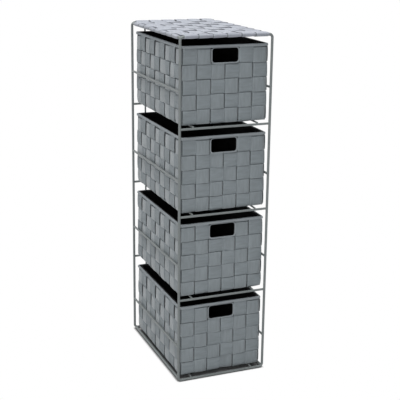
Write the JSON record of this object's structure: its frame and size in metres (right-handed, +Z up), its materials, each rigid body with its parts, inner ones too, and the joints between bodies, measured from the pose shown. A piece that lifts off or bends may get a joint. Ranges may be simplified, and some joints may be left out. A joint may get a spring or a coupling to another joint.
{
  "type": "storage tower",
  "caption": "Slim upright storage tower: a welded wire frame with a woven strap top that holds woven strap baskets, one above the other, which slide out at the front.",
  "frame": {"origin": "on the floor under the middle of the tower", "axes": "+Z up; -Y towards the front, where the baskets come out; +X to the right of someone who faces the front"},
  "size_m": [0.1704, 0.257, 0.6178],
  "materials": {
    "frame_paint": "satin grey powder coat",
    "strap": "ribbed grey woven strap, matt with a faint sheen",
    "lining": "matt black fabric",
    "binding": "grey woven tape",
    "basket_wire": "dark painted wire"
  },
  "bodies": {
    "frame": {"front_loop": "frame_paint", "back_loop": "frame_paint", "top_side_rail_left": "frame_paint", "top_side_rail_right": "frame_paint", "bottom_side_rail_left": "frame_paint", "bottom_side_rail_right": "frame_paint", "back_stop_left": "frame_paint", "back_stop_right": "frame_paint", "shelf_rail_front_2": "frame_paint", "shelf_rail_front_3": "frame_paint", "shelf_rail_front_4": "frame_paint", "shelf_rail_back_2": "frame_paint", "shelf_rail_back_3": "frame_paint", "shelf_rail_back_4": "frame_paint", "runner_left_1": "frame_paint", "runner_right_1": "frame_paint", "runner_left_2": "frame_paint", "runner_right_2": "frame_paint", "runner_left_3": "frame_paint", "runner_right_3": "frame_paint", "runner_left_4": "frame_paint", "runner_right_4": "frame_paint", "side_guard_left_1": "frame_paint", "side_guard_right_1": "frame_paint", "side_guard_left_2": "frame_paint", "side_guard_right_2": "frame_paint", "side_guard_left_3": "frame_paint", "side_guard_right_3": "frame_paint", "side_guard_left_4": "frame_paint", "side_guard_right_4": "frame_paint", "top_straps_lengthwise": "strap", "top_straps_crosswise": "strap"},
    "basket_1": {"basket_1_hoop_straps": "strap", "basket_1_upright_straps": "strap", "basket_1_wire_frame": "basket_wire", "basket_1_lining": "lining", "basket_1_rim_binding": "binding", "basket_1_handle_trim": "binding"},
    "basket_2": {"basket_2_hoop_straps": "strap", "basket_2_upright_straps": "strap", "basket_2_wire_frame": "basket_wire", "basket_2_lining": "lining", "basket_2_rim_binding": "binding", "basket_2_handle_trim": "binding"},
    "basket_3": {"basket_3_hoop_straps": "strap", "basket_3_upright_straps": "strap", "basket_3_wire_frame": "basket_wire", "basket_3_lining": "lining", "basket_3_rim_binding": "binding", "basket_3_handle_trim": "binding"},
    "basket_4": {"basket_4_hoop_straps": "strap", "basket_4_upright_straps": "strap", "basket_4_wire_frame": "basket_wire", "basket_4_lining": "lining", "basket_4_rim_binding": "binding", "basket_4_handle_trim": "binding"}
  },
  "joints": [
    {"name": "basket_1_slide", "type": "slide", "parent": "frame", "child": "basket_1", "axis": [0, -1, 0], "range_m": [0, 0.25]},
    {"name": "basket_2_slide", "type": "slide", "parent": "frame", "child": "basket_2", "axis": [0, -1, 0], "range_m": [0, 0.25]},
    {"name": "basket_3_slide", "type": "slide", "parent": "frame", "child": "basket_3", "axis": [0, -1, 0], "range_m": [0, 0.25]},
    {"name": "basket_4_slide", "type": "slide", "parent": "frame", "child": "basket_4", "axis": [0, -1, 0], "range_m": [0, 0.25]}
  ]
}
